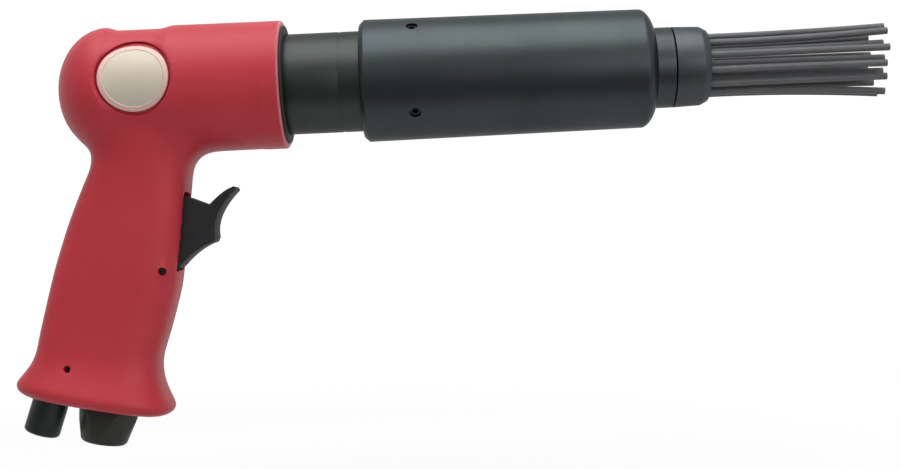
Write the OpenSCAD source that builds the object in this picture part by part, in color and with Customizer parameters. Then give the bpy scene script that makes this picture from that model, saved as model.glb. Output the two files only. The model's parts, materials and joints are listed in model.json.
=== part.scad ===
// Pneumatic needle scaler with a pistol grip.
// Millimetres. +X runs forward along the barrel, +Z is up, the origin is the middle of the grip.

/* [Barrel line] */
// Height of the barrel axis above the middle of the grip
axis_h = 57.7; // [55:0.1:62]
// Front face of the collar, ahead of the middle of the grip
collar_front = 70; // [65:0.5:75]
// Length of barrel that shows between the collar and the needle housing
barrel_show = 31.6; // [26:0.1:42]
// Length of barrel held inside the needle housing
clamp_len = 27.4; // [24:0.1:32]
// Length of a needle from the back of its head to its tip
needle_len = 175.6; // [165:0.1:190]

/* [Head and collar] */
// How far the rear dome stands out beyond the barrel
dome_wall = 6.2; // [5.2:0.1:8]
// Length of the rear dome, from its widest ring to its back
dome_len = 21.8; // [20:0.1:27]
// Place of the dome's widest ring along the barrel
dome_x = -3.5; // [-6:0.1:-2]
// How far the waist dips below the dome
waist_dip = 1.4; // [0.8:0.1:2]
// How far the back of the collar lies below the dome
collar_dip = 0.2; // [0:0.1:1]
// How far the collar tapers towards its front
collar_taper = 0.2; // [0.1:0.1:1.4]
// Place where the collar begins along the barrel
collar_back = 24; // [20:0.5:30]
// Radius of the badge
badge_r = 14.4; // [12:0.1:15]
// Thickness of the badge
badge_t = 1.4; // [1:0.1:2]
// Gap between the badge and the wall of its recess
badge_gap = 1; // [0.6:0.1:1.6]

/* [Grip] */
// Backward lean of the grip, in degrees
grip_lean = 12; // [8:0.5:16]
// Depth of the grip, front to back
grip_depth = 53.6; // [50:0.1:58]
// Width of the grip, side to side
grip_width = 34; // [32:0.1:38]
// Distance from the middle of the grip down to its foot
grip_drop = 75.8; // [72:0.1:90]

/* [Needles and housing] */
// Radius of a needle
needle_r = 1.5; // [1:0.05:1.6]
// Spacing of the needles, from the middle one to the inner ring
needle_pitch = 6.1; // [5.4:0.05:6.8]
// Wall of the needle housing around the barrel
housing_wall = 4.6; // [4:0.1:7]
// How far the needle housing tapers towards its front
housing_taper = 0.8; // [0.2:0.1:1.6]
// Length of the needle housing up to its front shoulder
housing_len = 117.7; // [108:0.1:130]
// Wall of the nose around the needles
nose_wall = 3; // [2.4:0.1:4]
// Length of the nose bush that shows
nose_len = 15; // [12:0.5:20]

/* [Barrel] */
// Outer radius of the barrel
barrel_r = 21.2; // [20.6:0.1:22]
// Step from the barrel down to its screwed tail
tail_step = 1.7; // [1.2:0.1:3]
// Radius of the piston
piston_r = 9.5; // [8:0.1:11]
// Length of the piston
piston_len = 34; // [28:0.5:40]

/* [Trigger and foot] */
// Width of the trigger
trigger_w = 14; // [12:0.5:16]
// Reach of the trigger ahead of its pin
trigger_reach = 22.9; // [20:0.1:26]
// Height of the trigger above its pin
trigger_h = 39.8; // [37:0.1:42]
// Width across the flats of the inlet bush
inlet_flats = 22; // [20:0.1:23]
// Bore of the inlet bush, for its pipe thread
inlet_bore_r = 5.9; // [5:0.1:6.2]
// Radius of the regulator's spool
knob_r = 7.5; // [6.8:0.1:7.8]
// Length of the stubs under the grip
stub_len = 15.4; // [12:0.1:18]

/* [Hidden] */
$fn = 64;
needle_names = [for (i = [1:19]) str("needle_", i < 10 ? "0" : "", i)];

// Clearances and cuts
overrun = 1;       // how far a cut runs past the face that it opens
fit_gap = 0.05;    // radial clearance of a fit
seat_gap = 0.2;    // gap between faces that rest on each other
free_gap = 0.3;    // gap between parts that pass each other
edge = 1;          // small turned chamfer

// Radii that follow from the main ones
dome_r = barrel_r + dome_wall;
waist_r = dome_r - waist_dip;
collar_back_r = dome_r - collar_dip;
collar_front_r = collar_back_r - collar_taper;
tail_r = barrel_r - tail_step;
housing_r = barrel_r + housing_wall;
housing_front_r = housing_r - housing_taper;
outer_ring_share = 1.967;
inner_ring_r = needle_pitch;
outer_ring_r = needle_pitch * outer_ring_share;
bundle_gap = 0.5;
nose_bore_r = outer_ring_r + needle_r + bundle_gap;
nose_r = nose_bore_r + nose_wall;

// Places along the barrel, from the back
chest_back = -6;
chest_share = 0.82;
chest_r = tail_r * chest_share;
valve_back_t = 6;
valve_case_t = 10;
barrel_back = chest_back + valve_back_t + valve_case_t;
seal_t = 1;
shoulder_x = collar_front + seal_t;
housing_back = shoulder_x + barrel_show;
barrel_front = housing_back + clamp_len;
buffer_t = 3.5;
anvil_back = barrel_front + buffer_t + seat_gap;
anvil_t = 10;
anvil_front = anvil_back + anvil_t;
carrier_back = anvil_front + seat_gap;
pocket_depth = 7;
plate_back = carrier_back + pocket_depth;
plate_t = 10;
plate_front = plate_back + plate_t;
front_round = 5.5;
neck_len = 7.6;
neck_back = housing_back + housing_len + front_round;
neck_front = neck_back + neck_len;
front_wall_t = 7;
spring_seat = neck_back - front_wall_t;
nose_front = neck_front + nose_len;

// Colours
casting_red = [0.64, 0.17, 0.22];
blackened_steel = [0.2, 0.21, 0.23];
bright_steel = [0.62, 0.63, 0.65];
brass = [0.74, 0.6, 0.33];
rubber_black = [0.08, 0.08, 0.08];
plastic_black = [0.16, 0.16, 0.16];
badge_silver = [0.8, 0.78, 0.7];

// Frames: along the barrel, and along the leaning grip
module on_axis() {
    translate([0, 0, axis_h]) rotate([0, 90, 0]) children();
}
module in_grip(u = 0, w = 0) {
    rotate([0, grip_lean, 0]) translate([u, 0, w]) children();
}
// A rod along z from a to b
module rod(r, a, b) {
    translate([0, 0, a]) cylinder(r = r, h = b - a);
}
// A rod across the tool, centred
module cross_rod(r, half_len) {
    rotate([90, 0, 0]) cylinder(r = r, h = 2 * half_len, center = true);
}
// A rod along +x from a to b
module forward_rod(r, a, b) {
    rotate([0, 90, 0]) rod(r, a, b);
}
// A turned part from points of [radius, place]
module turned(points) {
    rotate_extrude() polygon(points);
}
// Points of a soft curve from a to c that leans towards b
function bow(a, b, c, steps) =
    [for (i = [0:steps]) let (t = i / steps) (1 - t) * (1 - t) * a + 2 * t * (1 - t) * b + t * t * c];

// A round wire wound into a spring along z, with a closed turn at each end
function coil_z(t, turns, length, wire_r, end_pitch) =
    let (inner = (length - 2 * wire_r - 2 * end_pitch) / (turns - 2))
    wire_r + min(t, 1) * end_pitch + max(0, min(t - 1, turns - 2)) * inner + max(0, t - turns + 1) * end_pitch;
module coil(mean_r, wire_r, length, turns, rings, end_gap) {
    sides = 6;
    end_pitch = 2 * wire_r + end_gap;
    last = turns * rings;
    points = [for (i = [0:last], k = [0:sides - 1])
        let (t = i / rings,
             r = mean_r + wire_r * cos(k * 360 / sides),
             z = coil_z(t, turns, length, wire_r, end_pitch) + wire_r * sin(k * 360 / sides))
        [r * cos(t * 360), r * sin(t * 360), z]];
    sides_out = [for (i = [0:last - 1], k = [0:sides - 1])
        let (a = i * sides + k, b = i * sides + (k + 1) % sides)
        [[a, b, b + sides], [a, b + sides, a + sides]]];
    skin = [for (pair = sides_out, face = pair) face];
    start = [for (k = [1:sides - 2]) [0, k + 1, k]];
    end = [for (k = [1:sides - 2]) [last * sides, last * sides + k, last * sides + k + 1]];
    polyhedron(points, concat(skin, start, end), convexity = 10);
}

// Handle casting
waist_step = 4;
collar_step = 4.8;
collar_edge = 0.8;
dome_steps = 15;
head_profile = concat(
    [for (i = [0:dome_steps]) let (a = 90 * i / dome_steps)
        [dome_r * sin(a), dome_x - dome_len * cos(a)]],
    [[waist_r, dome_x + waist_step],
     [waist_r, collar_back - collar_step],
     [collar_back_r, collar_back],
     [collar_front_r, collar_front - collar_edge],
     [collar_front_r - collar_edge, collar_front],
     [0, collar_front]]);

// The grip is a loft of rounded sections square to its leaning axis.
// Each row: height, front and back reach, half width, squareness of the section.
rise_share = 0.79;
grip_rise = axis_h * rise_share;
grip_row_shares = [
    [1.0, 1.22, -1.2, 1.22, 2.0],
    [0.86, 1.13, -1.04, 1.2, 2.1],
    [0.73, 0.9, -0.79, 1.13, 2.5],
    [0.56, 0.86, -0.675, 1.06, 3.0],
    [0.3, 0.9, -0.755, 1.02, 3.3],
    [-0.05, 0.955, -0.885, 1.0, 3.4],
    [-0.28, 0.98, -0.97, 1.0, 3.4],
    [-0.52, 0.93, -1.017, 0.99, 3.4],
    [-0.67, 0.875, -1.04, 0.99, 3.4],
    [-0.75, 0.9, -1.045, 1.02, 3.3],
    [-0.83, 0.985, -1.1, 1.12, 3.1],
    [-0.905, 1.125, -1.22, 1.26, 2.9],
    [-0.945, 1.2, -1.275, 1.33, 2.8],
    [-0.98, 1.17, -1.215, 1.27, 2.8],
    [-1.0, 1.06, -1.08, 1.1, 2.8]];
row_count = len(grip_row_shares);
rings_per_row = 2;
grip_sides = 40;
function row_at(i) = grip_row_shares[max(0, min(row_count - 1, i))];
function row_between(i, t) =
    let (a = row_at(i - 1), b = row_at(i), c = row_at(i + 1), d = row_at(i + 2))
    b + 0.5 * t * ((c - a) + t * ((2 * a - 5 * b + 4 * c - d) + t * (3 * (b - c) + d - a)));
function grip_height(share) = share * (share > 0 ? grip_rise : grip_drop);
function signed_power(v, p) = sign(v) * pow(abs(v), p);
function grip_ring(row) =
    let (front = row[1] * grip_depth / 2, back = row[2] * grip_depth / 2, half = row[3] * grip_width / 2)
    [for (k = [0:grip_sides - 1])
        let (a = (k + 0.5) * 360 / grip_sides)
        [(front + back) / 2 + (front - back) / 2 * signed_power(cos(a), 2 / row[4]),
         half * signed_power(sin(a), 2 / row[4]),
         grip_height(row[0])]];
module grip_loft() {
    last = (row_count - 1) * rings_per_row;
    rows = [for (i = [0:last]) row_between(floor(i / rings_per_row), (i % rings_per_row) / rings_per_row)];
    points = [for (row = rows) each grip_ring(row)];
    pairs = [for (i = [0:last - 1], k = [0:grip_sides - 1])
        let (a = i * grip_sides + k, b = i * grip_sides + (k + 1) % grip_sides)
        [[a, b, b + grip_sides], [a, b + grip_sides, a + grip_sides]]];
    skin = [for (pair = pairs, face = pair) face];
    top = [for (k = [1:grip_sides - 2]) [0, k + 1, k]];
    foot = [for (k = [1:grip_sides - 2]) [last * grip_sides, last * grip_sides + k, last * grip_sides + k + 1]];
    polyhedron(points, concat(skin, top, foot), convexity = 6);
}

// Badge, bent to the waist of the head, in a recess on the near side
badge_x = 11.1;
badge_up = 3.1;
recess_depth = 1.3;
badge_floor_r = waist_r - recess_depth;
module at_badge() {
    translate([badge_x, 0, axis_h + badge_up]) rotate([90, 0, 0]) children();
}

// Trigger: side outline about its pin, in shares of its reach and height.
// Each soft edge is a curve from its first point to its last, drawn towards the middle one.
trigger_steps = 8;
hook_shares = [[0.568, 0.759], [0.777, 0.938], [0.917, 0.982]];
tip_shares = [0.961, 1.0];
finger_shares = [[1.0, 0.97], [0.629, 0.663], [0.782, 0.437]];
under_shares = [[0.764, 0.387], [0.46, 0.294], [0.24, 0.0794]];
heel_shares = [0.0786, -0.0327];
trigger_top_shares = [0.16, 0.8055];
boss_share = 0.1485;

// Trigger pin, slot and throttle line, in the grip's own frame
pin_r = 1.5;
pin_sink = 4.5;
pin_half = grip_width / 2 - pin_sink;
pivot_share = 0.3862;
pivot_u = grip_depth * pivot_share;
pivot_w = -14.9;
slot_gap = 0.5;
slot_deep = 11.7;
slot_back = pivot_u - slot_deep;
slot_low = 6.5;
slot_pocket = 1.3;
slot_lip_out = 5.75;
slot_lip_up = 2.9;
slot_over = 1.4;
slot_high = trigger_top_shares[1] * trigger_h + slot_over;
throttle_up = 20.9;
throttle_w = pivot_w + throttle_up;
throttle_r = 5;
throttle_end_share = 0.364;
throttle_end = -grip_depth * throttle_end_share;
stem_r = 2;
contact_back = 5.2;

// Foot: inlet and regulator places
foot_w = -grip_drop;
inlet_share = 0.0914;
inlet_u = grip_depth * inlet_share;
inlet_tail_share = 0.405;
inlet_tail_r = inlet_flats * inlet_tail_share;
inlet_tail_len = 17;
washer_t = 1;
knob_share = 0.3675;
knob_u = -grip_depth * knob_share;
reg_tilt = 7.5;    // degrees that the regulator leans further than the grip
reg_depth = 32.2;
reg_pin_r = 1.25;
reg_pin_bite = 0.5;
reg_pin_out = knob_r - reg_pin_bite;
reg_pin_up = 16;
reg_pin_sink = 3;
reg_pin_half = grip_width / 2 - reg_pin_sink;
port_up = 28.2;
module in_regulator(out = 0, up = 0) {
    in_grip(knob_u, foot_w) rotate([0, reg_tilt, 0]) translate([out, 0, up]) children();
}
// A place on the regulator's axis, in the grip's frame, and the way from the inlet to its port
function on_regulator(up) = [knob_u + up * sin(reg_tilt), foot_w + up * cos(reg_tilt)];
inlet_top = foot_w + inlet_tail_len;
port_way = on_regulator(port_up) - [inlet_u, inlet_top];
reg_top = on_regulator(reg_depth);
feed_r = 3.5;

module handle_bores() {
    // valve chest and the barrel's screwed socket
    on_axis() {
        rod(chest_r, chest_back, collar_front);
        rod(tail_r + fit_gap, barrel_back, collar_front + overrun);
    }
    // badge recess
    difference() {
        at_badge() rod(badge_r + badge_gap, 0, dome_r + overrun);
        on_axis() rod(badge_floor_r, -collar_front, collar_front);
    }
    // trigger slot, pin hole and throttle bore
    in_grip(pivot_u, pivot_w) rotate([90, 0, 0])
        linear_extrude(height = trigger_w + 2 * slot_gap, center = true) polygon([
            [slot_back - pivot_u, -slot_low], [slot_pocket, -slot_low], [slot_lip_out, slot_lip_up],
            [grip_depth, slot_lip_up], [grip_depth, slot_high], [slot_back - pivot_u, slot_high]]);
    in_grip(pivot_u, pivot_w) cross_rod(pin_r + fit_gap, grip_width);
    in_grip(0, throttle_w) forward_rod(throttle_r, throttle_end, slot_back + overrun);
    // inlet thread, regulator bore and its pin hole
    in_grip(inlet_u) rod(inlet_tail_r + fit_gap, foot_w - overrun, inlet_top + free_gap);
    in_regulator() rod(knob_r + fit_gap, -knob_r, reg_depth);
    in_regulator(reg_pin_out, reg_pin_up) cross_rod(reg_pin_r + fit_gap, grip_width);
    // air passages: inlet to regulator, regulator to throttle, throttle to valve chest
    in_grip(inlet_u, inlet_top) rotate([0, atan2(port_way[0], port_way[1]), 0]) rod(feed_r, 0, norm(port_way));
    in_grip(reg_top[0]) rod(feed_r, reg_top[1] - overrun, throttle_w);
    in_grip(0, throttle_w) rod(feed_r, 0, axis_h - throttle_w - chest_r + overrun);
}
module handle_housing() {
    color(casting_red) difference() {
        union() {
            on_axis() turned(head_profile);
            in_grip() grip_loft();
        }
        handle_bores();
    }
}
module name_badge() {
    color(badge_silver) difference() {
        intersection() {
            at_badge() rod(badge_r, 0, dome_r);
            on_axis() rod(badge_floor_r + badge_t, -collar_front, collar_front);
        }
        on_axis() rod(badge_floor_r, -collar_front, collar_front);
    }
}

// Barrel group
bore_r = piston_r + fit_gap;
guide_len = 18;
shank_step = 1.5;
shank_r = piston_r - shank_step;
dimple_len = 6;
dimple_depth = 0.5;
screw_set = 5.1;
screw_x = barrel_front - screw_set;
module barrel() {
    groove_a = screw_x - dimple_len / 2;
    groove_b = screw_x + dimple_len / 2;
    color(blackened_steel) difference() {
        on_axis() turned([
            [bore_r, barrel_back], [tail_r - edge, barrel_back], [tail_r, barrel_back + edge],
            [tail_r, shoulder_x], [barrel_r, shoulder_x],
            [barrel_r, groove_a], [barrel_r - dimple_depth, groove_a],
            [barrel_r - dimple_depth, groove_b], [barrel_r, groove_b],
            [barrel_r, barrel_front - edge], [barrel_r - edge, barrel_front],
            [shank_r + fit_gap, barrel_front], [shank_r + fit_gap, barrel_front - guide_len],
            [bore_r, barrel_front - guide_len]]);
        valve_pin_place() rod(valve_pin_r + fit_gap, chest_back, valve_pin_end + seat_gap);
    }
}
seal_inset = 2.1;
seal_r = collar_front_r - seal_inset;
module barrel_seal_ring() {
    color(rubber_black) on_axis() turned([
        [tail_r + fit_gap, collar_front], [seal_r, collar_front], [seal_r, shoulder_x],
        [tail_r + fit_gap, shoulder_x]]);
}

// Valve set behind the barrel
valve_pin_r = 1.2;
valve_pin_share = 0.856;
valve_pin_ring = chest_r * valve_pin_share;
valve_pin_in = 5;
valve_pin_end = barrel_back + valve_pin_in;
disc_share = 0.725;
disc_r = chest_r * disc_share;
disc_t = 1.6;
disc_pocket = 4;
disc_hole_r = 3;
port_r = 1.6;
port_share = 0.647;
port_ring = disc_r * port_share;
port_count = 6;
disc_back = chest_back + valve_back_t;
valve_centre_r = 4;
module valve_pin_place() {
    on_axis() translate([0, valve_pin_ring, 0]) children();
}
module valve_ports(a, b) {
    on_axis() for (i = [0:port_count - 1])
        rotate([0, 0, i * 360 / port_count]) translate([port_ring, 0, 0]) rod(port_r, a, b);
}
module valve_back_plate() {
    color(bright_steel) difference() {
        on_axis() rod(chest_r - fit_gap, chest_back, disc_back);
        valve_ports(chest_back - overrun, disc_back + overrun);
        valve_pin_place() rod(valve_pin_r + fit_gap, chest_back - overrun, disc_back + overrun);
    }
}
module valve_disc() {
    color(bright_steel) on_axis() turned([
        [disc_hole_r, disc_back + seat_gap], [disc_r, disc_back + seat_gap],
        [disc_r, disc_back + seat_gap + disc_t], [disc_hole_r, disc_back + seat_gap + disc_t]]);
}
module valve_case() {
    color(bright_steel) difference() {
        on_axis() turned([
            [valve_centre_r, disc_back + disc_pocket], [disc_r + free_gap, disc_back + disc_pocket],
            [disc_r + free_gap, disc_back], [chest_r - fit_gap, disc_back],
            [chest_r - fit_gap, barrel_back], [valve_centre_r, barrel_back]]);
        valve_ports(disc_back, barrel_back + overrun);
        valve_pin_place() rod(valve_pin_r + fit_gap, disc_back - overrun, barrel_back + overrun);
    }
}
module valve_pin() {
    color(bright_steel) valve_pin_place() rod(valve_pin_r, chest_back + seat_gap, valve_pin_end);
}
piston_rest = 4;
piston_back = barrel_back + piston_rest;
piston_nose = 3;
piston_nose_r = piston_r - piston_nose;
module piston() {
    color(bright_steel) on_axis() turned([
        [0, piston_back], [piston_r - edge, piston_back], [piston_r, piston_back + edge],
        [piston_r, piston_back + piston_len - piston_nose],
        [piston_nose_r, piston_back + piston_len], [0, piston_back + piston_len]]);
}

// Anvil, buffer and needle carrier
shank_out = 8;
shank_back = barrel_front - guide_len - shank_out;
anvil_in = 2.8;
anvil_r = barrel_r - anvil_in;
buffer_in = 3.2;
buffer_r = barrel_r - buffer_in;
module anvil() {
    color(bright_steel) on_axis() turned([
        [0, shank_back], [shank_r - edge, shank_back], [shank_r, shank_back + edge], [shank_r, anvil_back],
        [anvil_r - edge, anvil_back], [anvil_r, anvil_back + edge], [anvil_r, anvil_front], [0, anvil_front]]);
}
module anvil_buffer() {
    color(rubber_black) on_axis() turned([
        [shank_r + free_gap, barrel_front], [buffer_r, barrel_front], [buffer_r, barrel_front + buffer_t],
        [shank_r + free_gap, barrel_front + buffer_t]]);
}
housing_bore_r = barrel_r + fit_gap;
carrier_r = housing_bore_r - 2 * fit_gap;
head_over = 1;
head_r = needle_r + head_over;
head_t = 3;
needle_gap = 0.2;
pocket_r = outer_ring_r + head_r + 2 * edge;
spigot_len = 4;
spigot_in = 4.2;
spigot_r = barrel_r - spigot_in;
// Places of the needles: one in the middle, then the inner and the outer ring
inner_count = 6;
outer_count = 12;
inner_phase = 30;
outer_phase = 15;
function needle_angle(i) =
    i == 0 ? 0 :
    i <= inner_count ? inner_phase + (i - 1) * 360 / inner_count :
    outer_phase + (i - 1 - inner_count) * 360 / outer_count;
function needle_ring(i) = i == 0 ? 0 : i <= inner_count ? inner_ring_r : outer_ring_r;
module at_needle(i) {
    on_axis() rotate([0, 0, needle_angle(i)]) translate([needle_ring(i), 0, 0]) children();
}
module needle_carrier() {
    color(bright_steel) difference() {
        on_axis() turned([
            [0, plate_back], [pocket_r, plate_back], [pocket_r, carrier_back], [carrier_r, carrier_back],
            [carrier_r, plate_front], [spigot_r, plate_front], [spigot_r, plate_front + spigot_len],
            [0, plate_front + spigot_len]]);
        for (i = [0:inner_count + outer_count])
            at_needle(i) rod(needle_r + needle_gap, plate_back - overrun, plate_front + spigot_len + overrun);
    }
}

// Needles: straight through the carrier and nose, then each bowed a little outside.
// Each row: how far the tip bows, how far the bow turns off the outward line, how far the tip is trimmed.
splay = 3.4;
bow_relief = 0.03;
bow_lap = 1;
splay_turn = 90;
tip_trim = 3;
bend_out = 5;
bend_x = nose_front + bend_out;
needle_bow_shares = [
    [0.15, 0.4, 0.3],
    [0.2, -0.5, 0.55], [0.3, 0.6, 0.2], [0.25, 0.3, 0.65], [0.2, -0.4, 0.1], [0.35, 0.5, 0.45], [0.2, 0.2, 0.35],
    [0.95, 0.15, 0.4], [0.3, -0.2, 0.4], [0.45, 0.1, 0.7], [0.25, -0.3, 0.3], [0.5, 0.2, 0.85], [0.3, 0.35, 0.1],
    [0.38, 0.12, 0.0], [0.55, -0.25, 0.15], [0.25, 0.3, 0.25], [0.4, 0.1, 0.75], [0.3, -0.3, 0.5], [0.95, -0.1, 0.3]];
needle_fn = 720;
module needle(i) {
    row = needle_bow_shares[i];
    head_back = plate_back - head_t;
    bow_len = head_back + needle_len - row[2] * tip_trim - bend_x;
    bow_r = bow_len * bow_len / (2 * row[0] * splay);
    bow_angle = bow_len / bow_r * 180 / PI;
    color(blackened_steel) at_needle(i) rotate([0, 0, row[1] * splay_turn]) {
        rod(head_r, head_back, plate_back);
        rod(needle_r, head_back, bend_x + bow_lap);
        translate([bow_r, 0, bend_x]) rotate([90, 0, 0]) rotate([0, 0, 180 - bow_angle])
            rotate_extrude(angle = bow_angle, $fn = needle_fn)
                translate([bow_r, 0]) circle(r = needle_r - bow_relief, $fn = 24);
    }
}

// Return spring and needle housing
wire_r = 1.4;
spring_turns = 9;
spring_rings = 16;
spring_end_gap = 0.6;
spring_room = 0.7;
spring_mean_r = spigot_r + wire_r + spring_room;
spring_back = plate_front + seat_gap;
spring_len = spring_seat - seat_gap - spring_back;
echo(least_spring_gap = min(spring_end_gap,
    (spring_len - 2 * wire_r - 2 * (2 * wire_r + spring_end_gap)) / (spring_turns - 2) - 2 * wire_r));
module return_spring() {
    color(bright_steel) on_axis() translate([0, 0, spring_back])
        coil(spring_mean_r, wire_r, spring_len, spring_turns, spring_rings, spring_end_gap);
}
back_edge = 2;
neck_wall = 1.8;
bush_tail_r = nose_r - neck_wall;
round_steps = 6;
round_power = 1.2;
module needle_housing() {
    shoulder_a = housing_back + housing_len;
    shoulder = [for (i = [0:round_steps]) let (a = 90 * i / round_steps)
        [nose_r + (housing_front_r - nose_r) * signed_power(cos(a), round_power),
         shoulder_a + front_round * signed_power(sin(a), round_power)]];
    color(blackened_steel) difference() {
        on_axis() turned(concat(
            [[housing_bore_r, housing_back], [housing_r - back_edge, housing_back],
             [housing_r, housing_back + back_edge]],
            shoulder,
            [[nose_r, neck_front], [bush_tail_r + fit_gap, neck_front], [bush_tail_r + fit_gap, spring_seat],
             [housing_bore_r, spring_seat]]));
        at_screws() rod(screw_r + fit_gap, barrel_r - overrun, housing_r + overrun);
    }
}
nose_groove = 0.5;
nose_taper = 0.4;
nose_edge = 3;
module nose_bush() {
    color(blackened_steel) on_axis() turned([
        [nose_bore_r, spring_seat], [bush_tail_r, spring_seat], [bush_tail_r, neck_front + nose_groove],
        [nose_r, neck_front + nose_groove], [nose_r - nose_taper, nose_front - nose_edge],
        [nose_bore_r + edge, nose_front], [nose_bore_r, nose_front]]);
}
screw_r = 2.4;
screw_phase = 38.7;
screw_sink = 1.2;
socket_r = 1.45;
socket_depth = 2;
screw_count = 4;
module at_screws() {
    on_axis() translate([0, 0, screw_x]) for (i = [0:screw_count - 1])
        rotate([0, 0, screw_phase + i * 360 / screw_count]) rotate([0, 90, 0]) children();
}
module set_screws() {
    outer = housing_r - screw_sink;
    color(rubber_black) at_screws() difference() {
        rod(screw_r, barrel_r - dimple_depth + fit_gap, outer);
        translate([0, 0, outer - socket_depth]) cylinder(r = socket_r, h = socket_depth + overrun, $fn = 6);
    }
}

// Trigger and its pin
function trig(p) = [p[0] * trigger_reach, p[1] * trigger_h];
function trig_bow(p) = bow(trig(p[0]), trig(p[1]), trig(p[2]), trigger_steps);
module trigger_outline() {
    polygon(concat(
        trig_bow(hook_shares), [trig(tip_shares)], trig_bow(finger_shares), trig_bow(under_shares),
        [trig(heel_shares), [-contact_back, 0], [-contact_back, trigger_top_shares[1] * trigger_h],
         trig(trigger_top_shares)]));
}
module trigger() {
    color(plastic_black) in_grip(pivot_u, pivot_w) difference() {
        union() {
            rotate([90, 0, 0]) linear_extrude(height = trigger_w, center = true) trigger_outline();
            cross_rod(boss_share * trigger_reach, trigger_w / 2);
        }
        cross_rod(pin_r + fit_gap, trigger_w);
    }
}
module trigger_pin() {
    color(bright_steel) in_grip(pivot_u, pivot_w) cross_rod(pin_r, pin_half);
}

// Throttle valve behind the trigger
bush_share = 0.205;
bush_len = grip_depth * bush_share;
bush_end = slot_back - bush_len;
bush_waist = 1.2;
bush_land = 3;
poppet_r = 4;
poppet_t = 2.5;
throttle_seal_t = 1.5;
pilot_r = 2;
pilot_len = 3;
stem_gap = 0.1;
stem_tip = pivot_u - contact_back - stem_gap;
stem_round = 4;
poppet_front = bush_end - seat_gap - throttle_seal_t;
module throttle_bush() {
    color(brass) in_grip(0, throttle_w) rotate([0, 90, 0]) turned([
        [stem_r + fit_gap, bush_end], [throttle_r - fit_gap, bush_end],
        [throttle_r - fit_gap, bush_end + bush_land], [throttle_r - bush_waist, bush_end + bush_land],
        [throttle_r - bush_waist, slot_back - bush_land], [throttle_r - fit_gap, slot_back - bush_land],
        [throttle_r - fit_gap, slot_back], [stem_r + fit_gap, slot_back]]);
}
module throttle_stem() {
    tip = [for (i = [0:stem_round]) let (a = 90 * i / stem_round)
        [stem_r * cos(a), stem_tip - stem_r + stem_r * sin(a)]];
    color(bright_steel) in_grip(0, throttle_w) rotate([0, 90, 0]) turned(concat(
        [[0, poppet_front - poppet_t - pilot_len], [pilot_r, poppet_front - poppet_t - pilot_len],
         [pilot_r, poppet_front - poppet_t], [poppet_r, poppet_front - poppet_t],
         [poppet_r, poppet_front], [stem_r, poppet_front]],
        tip));
}
module throttle_seal() {
    color(rubber_black) in_grip(0, throttle_w) rotate([0, 90, 0]) turned([
        [stem_r + fit_gap, poppet_front], [poppet_r, poppet_front],
        [poppet_r, poppet_front + throttle_seal_t], [stem_r + fit_gap, poppet_front + throttle_seal_t]]);
}
throttle_wire_r = 0.45;
throttle_turns = 6;
throttle_rings = 12;
throttle_end_gap = 0.45;
module throttle_spring() {
    back = throttle_end + seat_gap;
    color(bright_steel) in_grip(0, throttle_w) rotate([0, 90, 0]) translate([0, 0, back])
        coil(pilot_r + throttle_wire_r + free_gap, throttle_wire_r, poppet_front - poppet_t - seat_gap - back,
             throttle_turns, throttle_rings, throttle_end_gap);
}

// Foot: inlet bush with its washer and screen, regulator with its O-ring and pin
inlet_thread_len = 14;
inlet_waist_r = 4.2;
inlet_taper_share = 0.136;
inlet_taper = inlet_flats * inlet_taper_share;
inlet_edge = 0.9;
hex_low = foot_w - stub_len;
module inlet_bush() {
    corner_r = inlet_flats / 2 / cos(30);
    color(plastic_black) in_grip(inlet_u) difference() {
        union() {
            intersection() {
                translate([0, 0, hex_low]) cylinder(r = corner_r, h = stub_len - washer_t, $fn = 6);
                turned([[0, hex_low], [corner_r - inlet_taper - inlet_edge, hex_low],
                        [corner_r - inlet_taper, hex_low + inlet_edge],
                        [corner_r + free_gap, foot_w - washer_t], [0, foot_w - washer_t]]);
            }
            rod(inlet_tail_r, foot_w - washer_t - edge, inlet_top);
        }
        rod(inlet_bore_r, hex_low - overrun, hex_low + inlet_thread_len);
        rod(inlet_waist_r, hex_low, inlet_top - screen_t);
        rod(screen_r + fit_gap, inlet_top - screen_t, inlet_top + overrun);
    }
}
module inlet_washer() {
    washer_r = inlet_flats / 2;
    color(rubber_black) in_grip(inlet_u) turned([
        [inlet_tail_r + fit_gap, foot_w - washer_t], [washer_r, foot_w - washer_t],
        [washer_r, foot_w], [inlet_tail_r + fit_gap, foot_w]]);
}
screen_r = 6;
screen_t = 2;
screen_hole_r = 0.8;
screen_ring = 2.6;
screen_holes = 6;
module inlet_screen() {
    color(brass) in_grip(inlet_u, inlet_top - screen_t) difference() {
        rod(screen_r, 0, screen_t);
        rod(screen_hole_r, -overrun, screen_t + overrun);
        for (i = [0:screen_holes - 1])
            rotate([0, 0, i * 360 / screen_holes]) translate([screen_ring, 0, 0])
                rod(screen_hole_r, -overrun, screen_t + overrun);
    }
}
knob_edge = 0.9;
knob_more = 0.9;
knob_low = -stub_len - knob_more;
groove_half = 1.8;
groove_gap = 0.15;
groove_r = reg_pin_out - reg_pin_r - groove_gap;
ring_up = 19.8;
ring_wire_r = 1.1;
ring_half = 1.3;
ring_floor_r = knob_r - 2 * ring_wire_r;
reg_cut_up = 22.2;
module regulator_knob() {
    color(plastic_black) in_regulator() difference() {
        turned([
            [0, knob_low], [knob_r - knob_edge, knob_low], [knob_r, knob_low + knob_edge],
            [knob_r, reg_pin_up - groove_half], [groove_r, reg_pin_up - groove_half],
            [groove_r, reg_pin_up + groove_half], [knob_r, reg_pin_up + groove_half],
            [knob_r, ring_up - ring_half], [ring_floor_r, ring_up - ring_half],
            [ring_floor_r, ring_up + ring_half], [knob_r, ring_up + ring_half],
            [knob_r, reg_depth - seat_gap], [0, reg_depth - seat_gap]]);
        translate([0, -knob_r, reg_cut_up]) cube([2 * knob_r, 2 * knob_r, reg_depth]);
    }
}
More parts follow.
